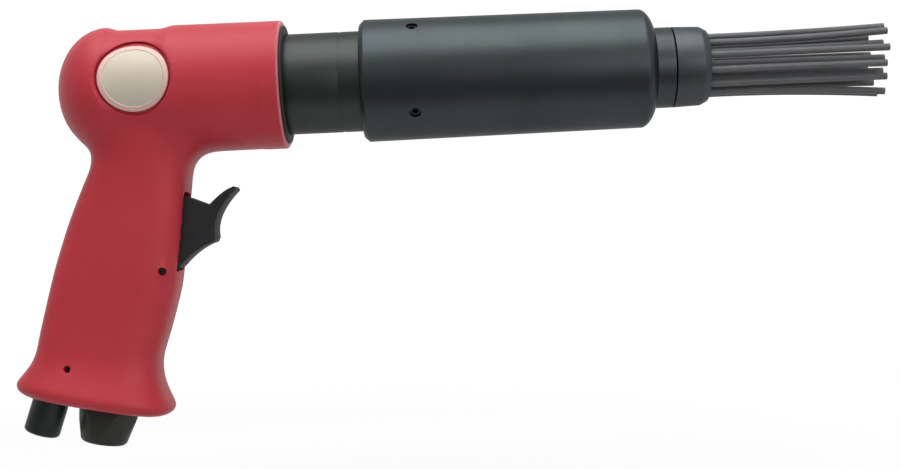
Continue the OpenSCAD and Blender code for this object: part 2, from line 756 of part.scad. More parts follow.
module regulator_oring() {
    color(rubber_black) in_regulator(0, ring_up) rotate_extrude()
        translate([knob_r - ring_wire_r, 0]) circle(r = ring_wire_r - fit_gap, $fn = 24);
}
module regulator_pin() {
    color(bright_steel) in_regulator(reg_pin_out, reg_pin_up) cross_rod(reg_pin_r, reg_pin_half);
}

handle_housing();
name_badge();
barrel();
barrel_seal_ring();
valve_back_plate();
valve_disc();
valve_case();
valve_pin();
piston();
anvil();
anvil_buffer();
needle_carrier();
return_spring();
needle_housing();
nose_bush();
set_screws();
trigger();
trigger_pin();
throttle_bush();
throttle_stem();
throttle_seal();
throttle_spring();
inlet_bush();
inlet_washer();
inlet_screen();
regulator_knob();
regulator_oring();
regulator_pin();
for (i = [0:len(needle_names) - 1]) needle(i);
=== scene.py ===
# %% [markdown]
# # A pistol-grip needle scaler, dressed in Blender
# The tool is an air hammer with a bundle of steel needles at its front. Its solids come from CAD and stay
# where they are. Here each one gets the finish of the real part, and the parts that show get the rounded
# edges, threads and soft casting blends that a drawing leaves out.

# %% Load the CAD frame
import json
import math

import bmesh
import bpy
from mathutils import Matrix, Vector


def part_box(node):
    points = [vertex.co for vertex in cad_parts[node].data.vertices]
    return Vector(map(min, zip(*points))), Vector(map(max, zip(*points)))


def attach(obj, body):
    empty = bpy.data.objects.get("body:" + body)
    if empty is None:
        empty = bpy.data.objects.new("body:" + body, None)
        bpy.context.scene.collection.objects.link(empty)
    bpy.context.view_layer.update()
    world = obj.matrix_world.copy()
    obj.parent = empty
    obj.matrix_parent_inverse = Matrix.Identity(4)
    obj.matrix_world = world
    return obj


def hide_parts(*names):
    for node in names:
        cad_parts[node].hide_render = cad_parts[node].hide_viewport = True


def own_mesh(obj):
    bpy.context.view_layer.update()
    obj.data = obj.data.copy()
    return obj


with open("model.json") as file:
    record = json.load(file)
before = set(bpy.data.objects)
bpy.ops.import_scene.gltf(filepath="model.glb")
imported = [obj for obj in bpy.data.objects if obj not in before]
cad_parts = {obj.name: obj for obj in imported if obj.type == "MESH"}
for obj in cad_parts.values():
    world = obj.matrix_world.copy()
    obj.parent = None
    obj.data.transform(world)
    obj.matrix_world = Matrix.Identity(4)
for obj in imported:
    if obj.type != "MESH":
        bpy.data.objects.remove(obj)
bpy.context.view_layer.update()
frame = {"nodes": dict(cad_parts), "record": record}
nodes = frame["nodes"]

# %% [markdown]
# ## Where things are
# Everything is in metres. The barrel's axis runs along X at one height, and the grip leans back from it by
# twelve degrees. The axis is read from the barrel itself, so that the pieces made here sit on the same line.
# Parts of the grip are easier to place in the grip's own frame, where they stand upright.

# %% Axes of the tool
MM = 0.001
LEAN = math.radians(12)
barrel_low, barrel_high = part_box("barrel")
AXIS_Z = (barrel_low.z + barrel_high.z) / 2
ON_AXIS = Matrix.Translation((0, 0, AXIS_Z))
IN_GRIP = Matrix.Rotation(LEAN, 4, "Y")
TO_GRIP = IN_GRIP.inverted()


def along_mm(name):
    low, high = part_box(name)
    return low.x / MM, high.x / MM, (high.z - low.z) / 2 / MM


def grip_box(name):
    points = [TO_GRIP @ v.co for v in nodes[name].data.vertices]
    return Vector(map(min, zip(*points))), Vector(map(max, zip(*points)))


print("barrel axis at", round(AXIS_Z / MM, 2), "mm")

# %% [markdown]
# ## Camera
# The photograph looks square at the tool's left side from about half a metre, and the tool is turned a
# little, so that its barrel rises to the right. The camera is rolled by that angle. The scale in the plane
# of the tool fixes the focal length, and the place of the grip in the picture fixes where the camera stands.

# %% Camera at the photograph's view
PHOTO_W, PHOTO_H = 900, 469
MM_PER_PX = 0.425
GRIP_MIDDLE_PX = (127.5, 228.0)
ROLL = math.radians(2.6)
DISTANCE = 0.55
camera_data = bpy.data.cameras.new("side_camera")
camera_data.sensor_fit = "HORIZONTAL"
camera_data.sensor_width = 36.0
camera_data.lens = 36.0 * DISTANCE / (PHOTO_W * MM_PER_PX * MM)
camera = bpy.data.objects.new("side_camera", camera_data)
bpy.context.scene.collection.objects.link(camera)
right = Vector((math.cos(ROLL), 0, -math.sin(ROLL)))
up = Vector((math.sin(ROLL), 0, math.cos(ROLL)))
back = Vector((0, -1, 0))
aside = (PHOTO_W / 2 - GRIP_MIDDLE_PX[0]) * MM_PER_PX * MM
above = (GRIP_MIDDLE_PX[1] - PHOTO_H / 2) * MM_PER_PX * MM
camera.matrix_world = Matrix.Translation(right * aside + up * above + back * DISTANCE) @ Matrix(
    (right, up, back)).transposed().to_4x4()
bpy.context.scene.camera = camera
print("lens", round(camera_data.lens, 1), "mm")

# %% [markdown]
# ## Small helpers for materials
# Colours are written as the sRGB hex values that one reads off a screen and turned to linear light once.
# One function adds a node with its settings and links. A pattern's scale is one over its real size, because
# Object coordinates are in metres. A Mix node takes its two colours at sockets 6 and 7 and gives the mixed
# one at 2.

# %% Material helpers
def linear(hex_colour):
    parts = [int(hex_colour[i:i + 2], 16) / 255 for i in (1, 3, 5)]
    return [c / 12.92 if c <= 0.04045 else ((c + 0.055) / 1.055) ** 2.4 for c in parts] + [1.0]


def feed(tree, node, inputs):
    for name, value in inputs.items():
        if isinstance(value, bpy.types.NodeSocket):
            tree.links.new(value, node.inputs[name])
        else:
            node.inputs[name].default_value = value
    return node


def add(tree, kind, inputs, **settings):
    node = tree.nodes.new("ShaderNode" + kind)
    for name, value in settings.items():
        setattr(node, name, value)
    return feed(tree, node, inputs)


def per_mm(size):
    return 1 / (size * MM)


def new_material(name):
    material = bpy.data.materials.new(name)
    material.use_nodes = True
    tree = material.node_tree
    return material, tree, tree.nodes["Principled BSDF"], add(tree, "TexCoord", {}).outputs["Object"]


print("material helpers ready")

# %% [markdown]
# ## Red enamel on the casting
# The handle is an aluminium die casting under a satin red enamel. The paint is thick enough to leave a faint
# orange peel about two millimetres wide, and its colour changes slightly from place to place. A patchy pale
# band along X lightens the enamel at the collar's front corner: a painted highlight along that edge.

# %% Red enamel
red_enamel, tree, shader, place = new_material("satin_red_enamel")
drift = add(tree, "TexNoise", {"Vector": place, "Scale": per_mm(28), "Detail": 3.0})
peel = add(tree, "TexNoise", {"Vector": place, "Scale": per_mm(1.8), "Detail": 2.0})
tint = add(tree, "Mix", {0: drift.outputs["Fac"], 6: linear("#A42732"), 7: linear("#B2303B")},
           data_type="RGBA")
_, casting_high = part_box("handle_housing")
# Painted highlight: a patchy pale pink band along X lightens the enamel within a millimetre of the collar's
# front corner.
HIGHLIGHT_FROM, HIGHLIGHT_FULL = 0.9 * MM, 0.4 * MM
split = add(tree, "SeparateXYZ", {"Vector": place})
corner = add(tree, "MapRange", {"Value": split.outputs["X"], "From Min": casting_high.x - HIGHLIGHT_FROM,
                                "From Max": casting_high.x - HIGHLIGHT_FULL})
patchy = add(tree, "MapRange", {"Value": drift.outputs["Fac"], "From Min": 0.3, "From Max": 0.7,
                                "To Min": 0.35, "To Max": 0.85})
painted_edge_highlight = add(tree, "Math", {0: corner.outputs["Result"], 1: patchy.outputs["Result"]}, operation="MULTIPLY")
enamel_with_painted_highlight = add(tree, "Mix", {0: painted_edge_highlight.outputs[0], 6: tint.outputs[2], 7: linear("#CC8F97")}, data_type="RGBA")
gloss = add(tree, "MapRange", {"Value": peel.outputs["Fac"], "To Min": 0.42, "To Max": 0.54})
bump = add(tree, "Bump", {"Height": peel.outputs["Fac"], "Distance": 0.05 * MM, "Strength": 0.5})
feed(tree, shader, {"Base Color": enamel_with_painted_highlight.outputs[2], "Roughness": gloss.outputs["Result"],
                    "Normal": bump.outputs["Normal"], "IOR": 1.5, "Specular IOR Level": 0.28,
                    "Coat Weight": 0.03, "Coat Roughness": 0.4})
print(red_enamel.name)

# %% [markdown]
# ## Blackened steel
# The barrel, the needle housing and the nose are turned from steel and blackened in a hot salt bath. The
# oxide is thin, so the steel's gloss stays and the lathe's feed lines still show as fine rings. The lines are
# drawn about half a millimetre wide, coarser than the real ones, so that they show at this distance. The bath
# colours the steel unevenly, from blue-black to a warmer grey, in patches of a few centimetres. The nose rubs
# on the work, so its oxide is thinner and it looks lighter.

# %% Blackened steel
def turned_black(name, dark, light, rough_low, rough_high):
    material, tree, shader, place = new_material(name)
    along = add(tree, "Mapping", {"Vector": place, "Scale": (1.0, 0.004, 0.004)})
    rings = add(tree, "TexNoise", {"Vector": along.outputs["Vector"], "Scale": per_mm(0.5), "Detail": 2.0})
    cloud = add(tree, "TexNoise", {"Vector": place, "Scale": per_mm(32), "Detail": 4.0, "Roughness": 0.6})
    tint = add(tree, "Mix", {0: cloud.outputs["Fac"], 6: linear(dark), 7: linear(light)}, data_type="RGBA")
    gloss = add(tree, "MapRange", {"Value": rings.outputs["Fac"], "To Min": rough_low, "To Max": rough_high})
    bump = add(tree, "Bump", {"Height": rings.outputs["Fac"], "Distance": 0.02 * MM, "Strength": 0.35})
    feed(tree, shader, {"Base Color": tint.outputs[2], "Roughness": gloss.outputs["Result"],
                        "Normal": bump.outputs["Normal"], "Metallic": 1.0,
                        "Specular Tint": (0.65, 0.65, 0.65, 1.0)})
    return material


housing_black = turned_black("blackened_steel_housing", "#31383F", "#434745", 0.34, 0.48)
barrel_black = turned_black("blackened_steel_barrel", "#33373A", "#42443F", 0.36, 0.5)
nose_black = turned_black("worn_black_steel_nose", "#3B4045", "#4D5053", 0.4, 0.54)
print(housing_black.name, barrel_black.name, nose_black.name)

# %% [markdown]
# ## Drawn needle wire
# The needles are hard drawn wire under a dull phosphate coat, so they are only partly bright like bare metal.
# Drawing leaves streaks along the wire, which a noise stretched along X gives.

# %% Needle wire
needle_wire, tree, shader, place = new_material("drawn_needle_wire")
streak_place = add(tree, "Mapping", {"Vector": place, "Scale": (0.02, 1.0, 1.0)})
streaks = add(tree, "TexNoise", {"Vector": streak_place.outputs["Vector"], "Scale": per_mm(0.7),
                                 "Detail": 2.0})
stain = add(tree, "TexNoise", {"Vector": place, "Scale": per_mm(9), "Detail": 4.0, "Roughness": 0.65})
tint = add(tree, "Mix", {0: stain.outputs["Fac"], 6: linear("#47484A"), 7: linear("#5D5E60")},
           data_type="RGBA")
gloss = add(tree, "MapRange", {"Value": streaks.outputs["Fac"], "To Min": 0.5, "To Max": 0.68})
bump = add(tree, "Bump", {"Height": streaks.outputs["Fac"], "Distance": 0.03 * MM, "Strength": 0.4})
feed(tree, shader, {"Base Color": tint.outputs[2], "Roughness": gloss.outputs["Result"],
                    "Normal": bump.outputs["Normal"], "Metallic": 0.35})
print(needle_wire.name)

# %% [markdown]
# ## Ground steel, spring wire and brass
# The working parts inside are ground or turned bright. They hardly show, but each still gets its own finish.

# %% Bright metals
def bright_metal(name, dark, light, grain_mm, stretch, rough_low, rough_high):
    material, tree, shader, place = new_material(name)
    lines = add(tree, "Mapping", {"Vector": place, "Scale": stretch})
    grain = add(tree, "TexNoise", {"Vector": lines.outputs["Vector"], "Scale": per_mm(grain_mm),
                                   "Detail": 3.0})
    cloud = add(tree, "TexNoise", {"Vector": place, "Scale": per_mm(12), "Detail": 2.0})
    tint = add(tree, "Mix", {0: cloud.outputs["Fac"], 6: linear(dark), 7: linear(light)}, data_type="RGBA")
    gloss = add(tree, "MapRange", {"Value": grain.outputs["Fac"], "To Min": rough_low, "To Max": rough_high})
    bump = add(tree, "Bump", {"Height": grain.outputs["Fac"], "Distance": 0.02 * MM, "Strength": 0.3})
    feed(tree, shader, {"Base Color": tint.outputs[2], "Roughness": gloss.outputs["Result"],
                        "Normal": bump.outputs["Normal"], "Metallic": 1.0})
    return material


ground_steel = bright_metal("ground_steel", "#9A9CA0", "#B4B6B9", 0.4, (1.0, 0.01, 0.01), 0.24, 0.4)
spring_wire = bright_metal("oiled_spring_wire", "#7C7F83", "#94979B", 0.3, (1.0, 1.0, 1.0), 0.3, 0.45)
turned_brass = bright_metal("turned_brass", "#B08D45", "#C9A65C", 0.3, (1.0, 1.0, 1.0), 0.25, 0.4)
print(ground_steel.name, spring_wire.name, turned_brass.name)

# %% [markdown]
# ## Black plastic, rubber and black oxide
# The trigger is moulded nylon with a fine grain from its mould. The seal ring, washers and buffer are rubber,
# duller still. The two stubs under the grip and the grub screws are steel. The inlet is phosphated and the
# others have a black oxide, so they look like dark grey metal with a soft gloss.

# %% Black finishes
def dull_black(name, dark, light, grain_mm, bump_mm, rough_low, rough_high, **constants):
    material, tree, shader, place = new_material(name)
    grain = add(tree, "TexNoise", {"Vector": place, "Scale": per_mm(grain_mm), "Detail": 3.0})
    cloud = add(tree, "TexNoise", {"Vector": place, "Scale": per_mm(10), "Detail": 2.0})
    tint = add(tree, "Mix", {0: cloud.outputs["Fac"], 6: linear(dark), 7: linear(light)}, data_type="RGBA")
    gloss = add(tree, "MapRange", {"Value": grain.outputs["Fac"], "To Min": rough_low, "To Max": rough_high})
    bump = add(tree, "Bump", {"Height": grain.outputs["Fac"], "Distance": bump_mm * MM, "Strength": 0.5})
    feed(tree, shader, {"Base Color": tint.outputs[2], "Roughness": gloss.outputs["Result"],
                        "Normal": bump.outputs["Normal"], **constants})
    return material


trigger_nylon = dull_black("grained_black_nylon", "#1E1F21", "#262729", 0.7, 0.06, 0.58, 0.72,
                           **{"IOR": 1.53, "Specular IOR Level": 0.16})
seal_rubber = dull_black("black_nitrile_rubber", "#0E0E0E", "#151515", 0.5, 0.04, 0.68, 0.82, IOR=1.52)
regulator_black = dull_black("black_oxide_regulator", "#272D2C", "#323837", 0.6, 0.03, 0.42, 0.56,
                             Metallic=1.0)
inlet_black = dull_black("black_phosphate_inlet", "#2F2F2D", "#3A3936", 0.5, 0.03, 0.46, 0.6, Metallic=1.0)
screw_black = dull_black("black_oxide_screw", "#2E2F31", "#3A3B3D", 0.4, 0.02, 0.38, 0.5, Metallic=1.0)
print(trigger_nylon.name, seal_rubber.name, regulator_black.name, inlet_black.name, screw_black.name)

# %% [markdown]
# ## Bare badge
# The disc on the head is thin aluminium with a warm silver lacquer. It is left bare. Its face is brushed one
# way, which shows as faint streaks along X. The raised border has been rubbed lighter than the field.

# %% Badge lacquer
def brushed_lacquer(name, dark, light):
    material, tree, shader, place = new_material(name)
    brush_place = add(tree, "Mapping", {"Vector": place, "Scale": (0.03, 1.0, 1.0)})
    brush = add(tree, "TexNoise", {"Vector": brush_place.outputs["Vector"], "Scale": per_mm(0.4),
                                   "Detail": 3.0})
    mottle = add(tree, "TexNoise", {"Vector": place, "Scale": per_mm(7), "Detail": 2.0})
    tint = add(tree, "Mix", {0: mottle.outputs["Fac"], 6: linear(dark), 7: linear(light)}, data_type="RGBA")
    gloss = add(tree, "MapRange", {"Value": brush.outputs["Fac"], "To Min": 0.5, "To Max": 0.64})
    bump = add(tree, "Bump", {"Height": brush.outputs["Fac"], "Distance": 0.015 * MM, "Strength": 0.3})
    feed(tree, shader, {"Base Color": tint.outputs[2], "Roughness": gloss.outputs["Result"],
                        "Normal": bump.outputs["Normal"], "Metallic": 0.25, "IOR": 1.5,
                        "Specular IOR Level": 0.4})
    return material


badge_field = brushed_lacquer("lacquered_aluminium_field", "#B6AD9D", "#C0B7A8")
badge_border = brushed_lacquer("rubbed_aluminium_border", "#C6A59D", "#CFAFA7")
print(badge_field.name, badge_border.name)

# %% [markdown]
# ## Finishing a piece
# Every new piece ends the same way: its bmesh becomes an object at the origin, its faces are shaded smooth
# with hard edges kept, it rides on a CAD body, and the CAD node it stands for is hidden. A copy of a CAD mesh
# is merged first, because CAD meshes come as loose triangles. Modifiers need an object, so two more helpers
# turn a bmesh into a short-lived object and cut or join others with it.

# %% Piece helpers
def as_object(name, bm):
    mesh = bpy.data.meshes.new(name)
    bm.to_mesh(mesh)
    bm.free()
    item = bpy.data.objects.new(name, mesh)
    bpy.context.scene.collection.objects.link(item)
    return item


def make_piece(bm, name, materials, body, node=None, hard_angle=40):
    piece = as_object(name, bm)
    piece.data.shade_smooth()
    piece.data.set_sharp_from_angle(angle=math.radians(hard_angle))
    for material in materials:
        piece.data.materials.append(material)
    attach(piece, body)
    if node:
        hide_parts(node)
    print(name, len(piece.data.polygons), "faces")
    return piece


def copy_of(node):
    bm = bmesh.new()
    bm.from_mesh(nodes[node].data)
    bmesh.ops.remove_doubles(bm, verts=bm.verts, dist=0.002 * MM)
    return bm


def after_modifiers(item, *helpers):
    bm = bmesh.new()
    bm.from_object(item, bpy.context.evaluated_depsgraph_get())
    for old in (item, *helpers):
        bpy.data.objects.remove(old)
    return bm


def carve(bm, **tools):
    blank = as_object("blank", bm)
    helpers = []
    for operation, tool in tools.items():
        helpers.append(as_object(operation, tool))
        step = blank.modifiers.new(operation, "BOOLEAN")
        step.operation, step.solver, step.object = operation.upper(), "EXACT", helpers[-1]
    return after_modifiers(blank, *helpers)


print("piece helpers ready")

# %% [markdown]
# ## Turned parts
# The barrel, the seal ring, the housing and the nose are all lathe work, so each is an outline spun about the
# barrel's axis. The outline starts as one face, its corners are rounded by a vertex bevel, and only its
# border is spun. Outlines are written as distance along the barrel and radius, in millimetres.

# %% Lathe helper
def lathe(outline, rounding, steps=128):
    bm = bmesh.new()
    corners = [bm.verts.new((x * MM, 0, r * MM)) for x, r in outline]
    bm.faces.new(corners)
    bmesh.ops.bevel(bm, geom=corners, offset=rounding * MM, segments=3, profile=0.5, affect="VERTICES",
                    material=-1, clamp_overlap=True)
    bmesh.ops.delete(bm, geom=bm.faces[:], context="FACES_ONLY")
    bmesh.ops.spin(bm, geom=bm.verts[:] + bm.edges[:], axis=(1, 0, 0), angle=2 * math.pi, steps=steps,
                   use_merge=True)
    bmesh.ops.remove_doubles(bm, verts=bm.verts, dist=0.002 * MM)
    bmesh.ops.recalc_face_normals(bm, faces=bm.faces)
    bmesh.ops.transform(bm, matrix=ON_AXIS, verts=bm.verts)
    return bm


print("lathe ready")

# %% Barrel with its turned line
seal_from, seal_to, seal_r = along_mm("barrel_seal_ring")
back_x, front_x, barrel_r = along_mm("barrel")
TAIL_R, BORE_R, GUIDE_R, GUIDE_LEN, CHAMFER = 19.5, 9.55, 8.05, 18, 1
LINE_X, LINE_HALF, LINE_DEEP = 94, 0.5, 0.15
barrel_outline = [
    (back_x, BORE_R), (back_x, TAIL_R - CHAMFER), (back_x + CHAMFER, TAIL_R), (seal_to, TAIL_R),
    (seal_to, barrel_r), (LINE_X - LINE_HALF, barrel_r), (LINE_X - LINE_HALF, barrel_r - LINE_DEEP),
    (LINE_X + LINE_HALF, barrel_r - LINE_DEEP), (LINE_X + LINE_HALF, barrel_r),
    (front_x - CHAMFER, barrel_r), (front_x, barrel_r - CHAMFER), (front_x, GUIDE_R),
    (front_x - GUIDE_LEN, GUIDE_R), (front_x - GUIDE_LEN, BORE_R)]
barrel = lathe(barrel_outline, rounding=0.15)
make_piece(barrel, "barrel_tube", [barrel_black], "handle", "barrel")

# %% Seal ring
seal_outline = [(seal_from, TAIL_R), (seal_from, seal_r), (seal_to, seal_r), (seal_to, TAIL_R)]
seal = lathe(seal_outline, rounding=0.3)
make_piece(seal, "seal_ring", [seal_rubber], "handle", "barrel_seal_ring")

# %% [markdown]
# ## Needle housing and nose
# The housing is a long tube with a chamfer behind, a rounded shoulder in front and a neck that takes the
# nose. The shoulder is one corner of the outline with a far wider rounding, so its points are drawn here as a
# quarter curve. The four holes for the grub screws are cut afterwards, straight towards the axis.

# %% Housing and nose
tube_back, tube_front, tube_r = along_mm("needle_housing")
nose_back, nose_front, nose_r = along_mm("nose_bush")
TUBE_EDGE, TUBE_TAPER, FIT = 2, 0.8, 0.05
SHOULDER_X, SHOULDER_LEN, SHOULDER_STEPS, SHOULDER_POWER = 220.3, 5.5, 10, 1.2
NOSE_TAIL_R, NOSE_BORE_R, NOSE_GROOVE, NOSE_EDGE, NOSE_DROP, NOSE_LIP = 15.2, 14.0, 0.5, 3, 0.4, 1
shoulder = []
for i in range(SHOULDER_STEPS + 1):
    turn = math.radians(90 * i / SHOULDER_STEPS)
    shoulder.append((SHOULDER_X + SHOULDER_LEN * abs(math.sin(turn)) ** SHOULDER_POWER,
                     nose_r + (tube_r - TUBE_TAPER - nose_r) * abs(math.cos(turn)) ** SHOULDER_POWER))
tube_outline = [(tube_back, barrel_r + FIT), (tube_back, tube_r - TUBE_EDGE), (tube_back + TUBE_EDGE, tube_r),
                *shoulder, (tube_front, nose_r), (tube_front, NOSE_TAIL_R + FIT),
                (nose_back, NOSE_TAIL_R + FIT), (nose_back, barrel_r + FIT)]
nose_outline = [(nose_back, NOSE_BORE_R), (nose_back, NOSE_TAIL_R), (tube_front + NOSE_GROOVE, NOSE_TAIL_R),
                (tube_front + NOSE_GROOVE, nose_r), (nose_front - NOSE_EDGE, nose_r - NOSE_DROP),
                (nose_front, NOSE_BORE_R + NOSE_LIP), (nose_front, NOSE_BORE_R)]
nose = lathe(nose_outline, rounding=0.25)
make_piece(nose, "nose_ring", [nose_black], "handle", "nose_bush")

# %% Holes for the grub screws
screws_low, screws_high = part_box("set_screws")
SCREW_TURN, SCREW_R = 38.7, 2.45
DRILL_LEN, DRILL_AT = 12, 25
drills = bmesh.new()
for i in range(4):
    aim = Matrix.Rotation(math.radians(180 + SCREW_TURN + 90 * i), 4, "X")
    out = ON_AXIS @ Matrix.Translation(((screws_low.x + screws_high.x) / 2, 0, 0)) @ aim
    bmesh.ops.create_cone(drills, cap_ends=True, segments=40, radius1=SCREW_R * MM, radius2=SCREW_R * MM,
                          depth=DRILL_LEN * MM, matrix=out @ Matrix.Translation((0, 0, DRILL_AT * MM)))
tube = carve(lathe(tube_outline, rounding=0.25), difference=drills)
make_piece(tube, "needle_tube", [housing_black], "handle", "needle_housing")

# %% [markdown]
# ## The handle casting
# A casting has no sharp inner corners: metal flows round every junction. A drawing of dome, collar and grip
# meets in a crease instead. So the CAD solid is copied, its facets are remeshed to small even squares, and
# the squares are smoothed. A few passes take the steps off everything, and many more passes in the neck melt
# the crease into a fillet. The trigger slot stays out of the strong passes. The pin holes are smaller than
# the squares can draw, so they are plugged first and drilled again at the end. Smoothing narrows a bore a
# little, but the bores lie out of sight.

# %% Remeshed copy of the handle
VOXEL = 0.86 * MM
PLUG_FROM, PLUG_OVER, PLUG_MORE = 8.5 * MM, 0.8 * MM, 3 * MM
across = Matrix.Rotation(math.radians(90), 4, "X")
pins = [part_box(name) for name in ("trigger_pin", "regulator_pin")]
bm = copy_of("handle_housing")
for low, high in pins:
    plug_r = (high.z - low.z) / 2 + PLUG_OVER
    plug_to = high.y + PLUG_MORE
    for side in (-1, 1):
        middle = Vector(((low.x + high.x) / 2, side * (PLUG_FROM + plug_to) / 2, (low.z + high.z) / 2))
        bmesh.ops.create_cone(bm, cap_ends=True, segments=32, radius1=plug_r, radius2=plug_r,
                              depth=plug_to - PLUG_FROM, matrix=Matrix.Translation(middle) @ across)
blank = as_object("handle_blank", bm)
remesh = blank.modifiers.new("even_squares", "REMESH")
remesh.mode = "VOXEL"
remesh.voxel_size = VOXEL
casting = after_modifiers(blank)
print("handle squares:", len(casting.faces))

# %% Smooth it where a casting is smooth
SLOT_HALF, SLOT_BACK, SLOT_LOW, SLOT_HIGH = 9.4 * MM, 6 * MM, -26 * MM, 24 * MM
GRIP_LOW, GRIP_HIGH, FOOT_TOP = -62 * MM, 26 * MM, -60 * MM
ALL_PASSES, GRIP_PASSES, FOOT_PASSES = 3, 22, 6
NECK_BANDS_MM = ((20, 47, 12), (23, 44, 25), (26, 41, 40))


def in_slot(g):
    return abs(g.y) < SLOT_HALF and g.x > SLOT_BACK and SLOT_LOW < g.z < SLOT_HIGH


def smooth(bm, chosen, passes):
    for _ in range(passes):
        bmesh.ops.smooth_vert(bm, verts=chosen, factor=0.5, use_axis_x=True, use_axis_y=True, use_axis_z=True)


smooth(casting, casting.verts[:], ALL_PASSES)
grip_places = [(v, TO_GRIP @ v.co) for v in casting.verts]
grip = [v for v, g in grip_places if GRIP_LOW < g.z < GRIP_HIGH and not in_slot(g)]
smooth(casting, grip, GRIP_PASSES)
smooth(casting, [v for v, g in grip_places if g.z <= FOOT_TOP], FOOT_PASSES)
for low, high, passes in NECK_BANDS_MM:
    band = [v for v, g in grip_places if low * MM < v.co.z < high * MM and not in_slot(g)]
    smooth(casting, band, passes)
print("neck squares smoothed:", len(band))

# %% [markdown]
# ## The badge and its recess
# The badge is a stamped disc with a thin border, bent to the round waist of the head. Both it and the cutter
# for its recess start as a flat disc of rings, because only rings of vertices can take the bend. The badge
# keeps its true width along the bend, so it looks a little lower than wide from the side.

# %% A flat disc of rings
def disc_of_rings(radius, thickness, border=0.0, pressed=0.0, ring=1.2 * MM):
    bm = bmesh.new()
    bmesh.ops.create_circle(bm, cap_ends=True, segments=96, radius=radius)
    top = bmesh.ops.extrude_face_region(bm, geom=bm.faces[:])
    bmesh.ops.translate(bm, verts=[v for v in top["geom"] if isinstance(v, bmesh.types.BMVert)],
                        vec=(0, 0, thickness))
    bmesh.ops.recalc_face_normals(bm, faces=bm.faces)
    by_height = sorted(bm.faces, key=lambda f: f.calc_center_median().z)
    under, face = by_height[0], by_height[-1]
    if border:
        bmesh.ops.inset_region(bm, faces=[face], thickness=border, use_even_offset=True)
        bmesh.ops.inset_region(bm, faces=[face], thickness=pressed, depth=-pressed, use_even_offset=True)
        rim = [e for e in bm.edges if e.is_manifold and e.calc_face_angle() > math.radians(60)]
        bmesh.ops.bevel(bm, geom=rim, offset=pressed, segments=3, profile=0.5, affect="EDGES", material=-1)
        face = max(bm.faces, key=lambda f: f.calc_area() if f.normal.z > 0.9 else 0)
        under = max(bm.faces, key=lambda f: f.calc_area() if f.normal.z < -0.9 else 0)
    for side in (face, under):
        for _ in range(int((radius - border) / ring) - 1):
            bmesh.ops.inset_region(bm, faces=[side], thickness=ring, use_even_offset=True)
    return bm


print("disc helper ready")

# %% Bent badge
badge_low, badge_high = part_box("name_badge")
BADGE_X = (badge_low.x + badge_high.x) / 2
BADGE_UP = (badge_low.z + badge_high.z) / 2 - AXIS_Z
BADGE_FACE_R = -badge_low.y
BADGE_T, BORDER, PRESSED, BORDER_FOOT, BADGE_MORE = 1.4 * MM, 2 * MM, 0.22 * MM, 0.2 * MM, 0.1 * MM
BADGE_R = (badge_high.x - badge_low.x) / 2 + BADGE_MORE
bm = disc_of_rings(BADGE_R, BADGE_T, border=BORDER, pressed=PRESSED)
for face in bm.faces:
    face.material_index = int(face.calc_center_median().xy.length > BADGE_R - BORDER - BORDER_FOOT)
start = math.asin(BADGE_UP / BADGE_FACE_R)
for v in bm.verts:
    reach = BADGE_FACE_R - BADGE_T + v.co.z
    turn = start + v.co.y / BADGE_FACE_R
    v.co = (BADGE_X + v.co.x, -reach * math.cos(turn), AXIS_Z + reach * math.sin(turn))
make_piece(bm, "badge_disc", [badge_field, badge_border], "handle", "name_badge")

# %% Cutters for the recess and the pin holes
RECESS_GAP, PIN_GAP = 0.9 * MM, 0.2 * MM
CUTTER_T, CUTTER_OUT, THROUGH = 1 * MM, 32 * MM, 60 * MM
cutter = disc_of_rings(BADGE_R + RECESS_GAP, CUTTER_T)
for v in cutter.verts:
    up = BADGE_UP + v.co.y
    floor_y = -math.sqrt((BADGE_FACE_R - BADGE_T) ** 2 - up ** 2)
    v.co = (BADGE_X + v.co.x, floor_y if v.co.z < CUTTER_T / 2 else -CUTTER_OUT, AXIS_Z + up)
bmesh.ops.recalc_face_normals(cutter, faces=cutter.faces)
for low, high in pins:
    hole_r = (high.z - low.z) / 2 + PIN_GAP
    bmesh.ops.create_cone(cutter, cap_ends=True, segments=40, radius1=hole_r, radius2=hole_r, depth=THROUGH,
                          matrix=Matrix.Translation((low + high) / 2) @ across)
print("cutter faces:", len(cutter.faces))

# %% [markdown]
# ## The collar's machined end
# The front of the collar is faced off on a lathe, so its corner is crisp, unlike the cast rest. The squares
# have rounded it, so a turned ring with a small chamfer is joined to it. The ring rises out of the casting at
# a slope too slight to see. Then the recess and the holes are cut.

# %% Join the collar's end and cut the casting
_, collar_x, _ = along_mm("handle_housing")
COLLAR_R, COLLAR_CHAMFER, LIFT = 27.0, 0.6, 0.03
RING_LEN, RING_SLOPE, RING_WALL, RING_SUNK = 16, 8, 4, 0.5
collar_outline = [(collar_x - RING_LEN, COLLAR_R - RING_WALL), (collar_x - RING_LEN, COLLAR_R - RING_SUNK),
                  (collar_x - RING_SLOPE, COLLAR_R + 2 * LIFT), (collar_x - COLLAR_CHAMFER, COLLAR_R + LIFT),
                  (collar_x + LIFT, COLLAR_R - COLLAR_CHAMFER), (collar_x + LIFT, COLLAR_R - RING_WALL)]
casting = carve(casting, union=lathe(collar_outline, rounding=0.15), difference=cutter)
make_piece(casting, "handle_casting", [red_enamel], "handle", "handle_housing", hard_angle=50)

# %% [markdown]
# ## Parts with rounded edges
# The trigger and the two stubs have flats and odd outlines, so they start from merged copies of their CAD
# solids. Flat faces are dissolved to single polygons and the hard edges are bevelled.

# %% Rounded copies
def rounded(node, width_mm, limit=32):
    bm = copy_of(node)
    bmesh.ops.dissolve_limit(bm, angle_limit=math.radians(0.5), verts=bm.verts[:], edges=bm.edges[:])
    hard = [e for e in bm.edges if e.is_manifold and e.calc_face_angle() > math.radians(limit)]
    bmesh.ops.bevel(bm, geom=hard, offset=width_mm * MM, segments=3, profile=0.5, affect="EDGES", material=-1,
                    clamp_overlap=True)
    return bm


